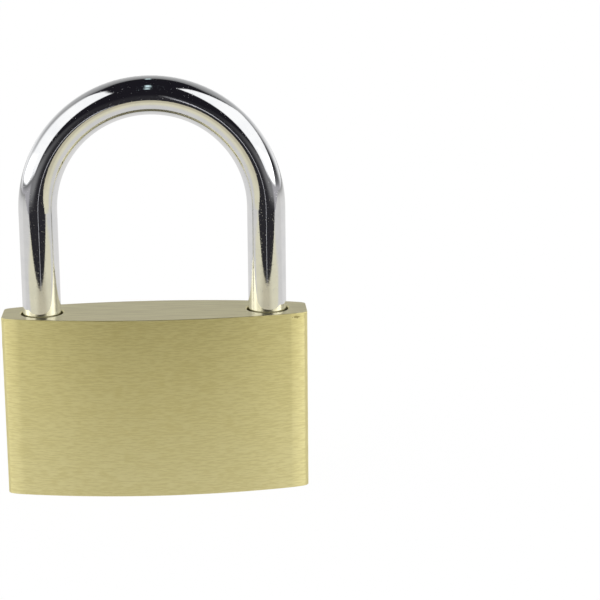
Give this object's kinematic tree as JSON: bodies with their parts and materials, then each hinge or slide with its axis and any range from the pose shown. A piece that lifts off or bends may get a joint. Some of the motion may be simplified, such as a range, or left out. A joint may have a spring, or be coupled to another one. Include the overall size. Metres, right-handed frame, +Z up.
{
  "type": "padlock",
  "caption": "Solid-body pin-tumbler padlock with a rectangular body bowed front and back, a round bar shackle and a keyway in the bottom.",
  "frame": {"origin": "middle of the bottom face, on the plug's axis", "axes": "+X along the body's width towards the short (toe) leg of the shackle, -Y out of the front face, +Z up along the shackle's legs"},
  "size_m": [0.06, 0.016, 0.0825],
  "materials": {
    "brass": "satin, brushed along the width",
    "plug_brass": "turned",
    "pin_brass": "turned",
    "chrome": "polished chrome plate",
    "steel": "ground",
    "spring_steel": "drawn wire"
  },
  "bodies": {
    "body": {"lock_body": "brass", "latch_bore_plug": "brass", "shackle_retaining_pin": "steel", "plug_retaining_pin": "steel", "shackle_spring": "spring_steel", "latch_spring_right": "spring_steel", "latch_spring_left": "spring_steel", "chamber_plug_1": "brass", "chamber_plug_2": "brass", "chamber_plug_3": "brass", "chamber_plug_4": "brass", "chamber_plug_5": "brass", "pin_spring_1": "spring_steel", "pin_spring_2": "spring_steel", "pin_spring_3": "spring_steel", "pin_spring_4": "spring_steel", "pin_spring_5": "spring_steel"},
    "shackle_bar": {"shackle": "chrome"},
    "cylinder": {"plug": "plug_brass", "drive_pin_right": "steel", "drive_pin_left": "steel"},
    "right_bolt": {"latch_right": "steel"},
    "left_bolt": {"latch_left": "steel"},
    "driver_1": {"driver_pin_1": "pin_brass"},
    "key_pin_body_1": {"key_pin_1": "pin_brass"},
    "driver_2": {"driver_pin_2": "pin_brass"},
    "key_pin_body_2": {"key_pin_2": "pin_brass"},
    "driver_3": {"driver_pin_3": "pin_brass"},
    "key_pin_body_3": {"key_pin_3": "pin_brass"},
    "driver_4": {"driver_pin_4": "pin_brass"},
    "key_pin_body_4": {"key_pin_4": "pin_brass"},
    "driver_5": {"driver_pin_5": "pin_brass"},
    "key_pin_body_5": {"key_pin_5": "pin_brass"}
  },
  "joints": [
    {"name": "shackle_lift", "type": "slide", "parent": "body", "child": "shackle_bar", "axis": [0, 0, 1], "range_m": [0, 0.0122], "deforming": ["shackle_spring"]},
    {"name": "plug_turn", "type": "hinge", "parent": "body", "child": "cylinder", "pos_m": [0, 0, 0], "axis": [0, 0, 1], "range_deg": [0, 90]},
    {"name": "latch_right_slide", "type": "slide", "parent": "body", "child": "right_bolt", "axis": [-1, 0, 0], "range_m": [0, 0.00389], "deforming": ["latch_spring_right"]},
    {"name": "latch_left_slide", "type": "slide", "parent": "body", "child": "left_bolt", "axis": [1, 0, 0], "range_m": [0, 0.00389], "deforming": ["latch_spring_left"]},
    {"name": "driver_pin_1_slide", "type": "slide", "parent": "body", "child": "driver_1", "axis": [1, 0, 0], "range_m": [-0.0027, 0], "deforming": ["pin_spring_1"]},
    {"name": "key_pin_1_slide", "type": "slide", "parent": "cylinder", "child": "key_pin_body_1", "axis": [1, 0, 0], "range_m": [-0.0027, 0]},
    {"name": "driver_pin_2_slide", "type": "slide", "parent": "body", "child": "driver_2", "axis": [1, 0, 0], "range_m": [-0.0019, 0], "deforming": ["pin_spring_2"]},
    {"name": "key_pin_2_slide", "type": "slide", "parent": "cylinder", "child": "key_pin_body_2", "axis": [1, 0, 0], "range_m": [-0.0019, 0]},
    {"name": "driver_pin_3_slide", "type": "slide", "parent": "body", "child": "driver_3", "axis": [1, 0, 0], "range_m": [-0.0011, 0], "deforming": ["pin_spring_3"]},
    {"name": "key_pin_3_slide", "type": "slide", "parent": "cylinder", "child": "key_pin_body_3", "axis": [1, 0, 0], "range_m": [-0.0011, 0]},
    {"name": "driver_pin_4_slide", "type": "slide", "parent": "body", "child": "driver_4", "axis": [1, 0, 0], "range_m": [-0.0023, 0], "deforming": ["pin_spring_4"]},
    {"name": "key_pin_4_slide", "type": "slide", "parent": "cylinder", "child": "key_pin_body_4", "axis": [1, 0, 0], "range_m": [-0.0023, 0]},
    {"name": "driver_pin_5_slide", "type": "slide", "parent": "body", "child": "driver_5", "axis": [1, 0, 0], "range_m": [-0.0015, 0], "deforming": ["pin_spring_5"]},
    {"name": "key_pin_5_slide", "type": "slide", "parent": "cylinder", "child": "key_pin_body_5", "axis": [1, 0, 0], "range_m": [-0.0015, 0]}
  ],
  "couplings": [
    {"joint": "plug_turn", "follows": "shackle_lift", "rad_per_m": 128.75},
    {"joint": "latch_right_slide", "follows": "shackle_lift", "ratio": 0.3187},
    {"joint": "latch_left_slide", "follows": "shackle_lift", "ratio": 0.3187},
    {"joint": "key_pin_1_slide", "follows": "driver_pin_1_slide", "ratio": 1},
    {"joint": "key_pin_2_slide", "follows": "driver_pin_2_slide", "ratio": 1},
    {"joint": "key_pin_3_slide", "follows": "driver_pin_3_slide", "ratio": 1},
    {"joint": "key_pin_4_slide", "follows": "driver_pin_4_slide", "ratio": 1},
    {"joint": "key_pin_5_slide", "follows": "driver_pin_5_slide", "ratio": 1}
  ]
}
